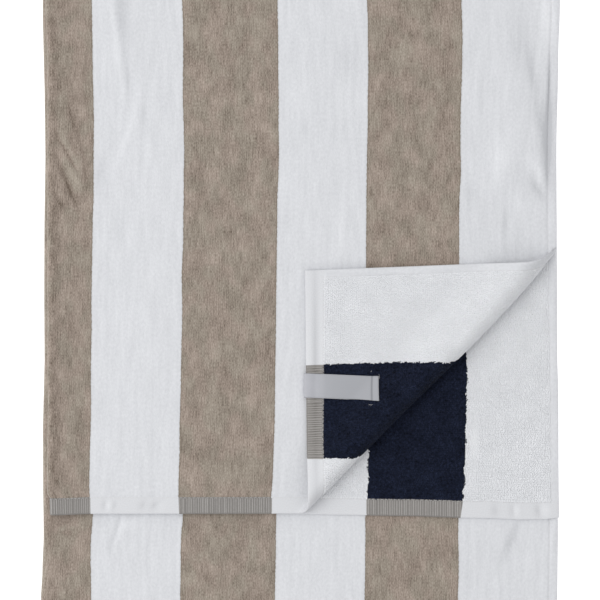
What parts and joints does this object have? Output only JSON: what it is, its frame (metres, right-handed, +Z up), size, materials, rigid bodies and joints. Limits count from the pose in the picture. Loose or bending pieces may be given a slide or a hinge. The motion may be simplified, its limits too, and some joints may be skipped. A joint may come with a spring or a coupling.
{
  "type": "folded bath towel",
  "caption": "Striped bath towel folded lengthwise and crosswise into a flat rectangle, one corner of the top layer turned back over it to show the looped underside and the hem label.",
  "frame": {"origin": "on the underside, in the middle of the folded towel's outline", "axes": "+X from the lengthwise fold to the selvedges, +Y from the end hems to the crosswise fold, +Z up off the surface that the towel lies on"},
  "size_m": [0.3555, 0.7477, 0.0217],
  "materials": {
    "cotton_terry": "cut velour face in beige and white stripes, looped back in navy and white, flat-woven hems",
    "satin_tape": "smooth silver-grey woven satin"
  },
  "bodies": {
    "root": {"towel": "cotton_terry", "label": "satin_tape"}
  },
  "joints": []
}
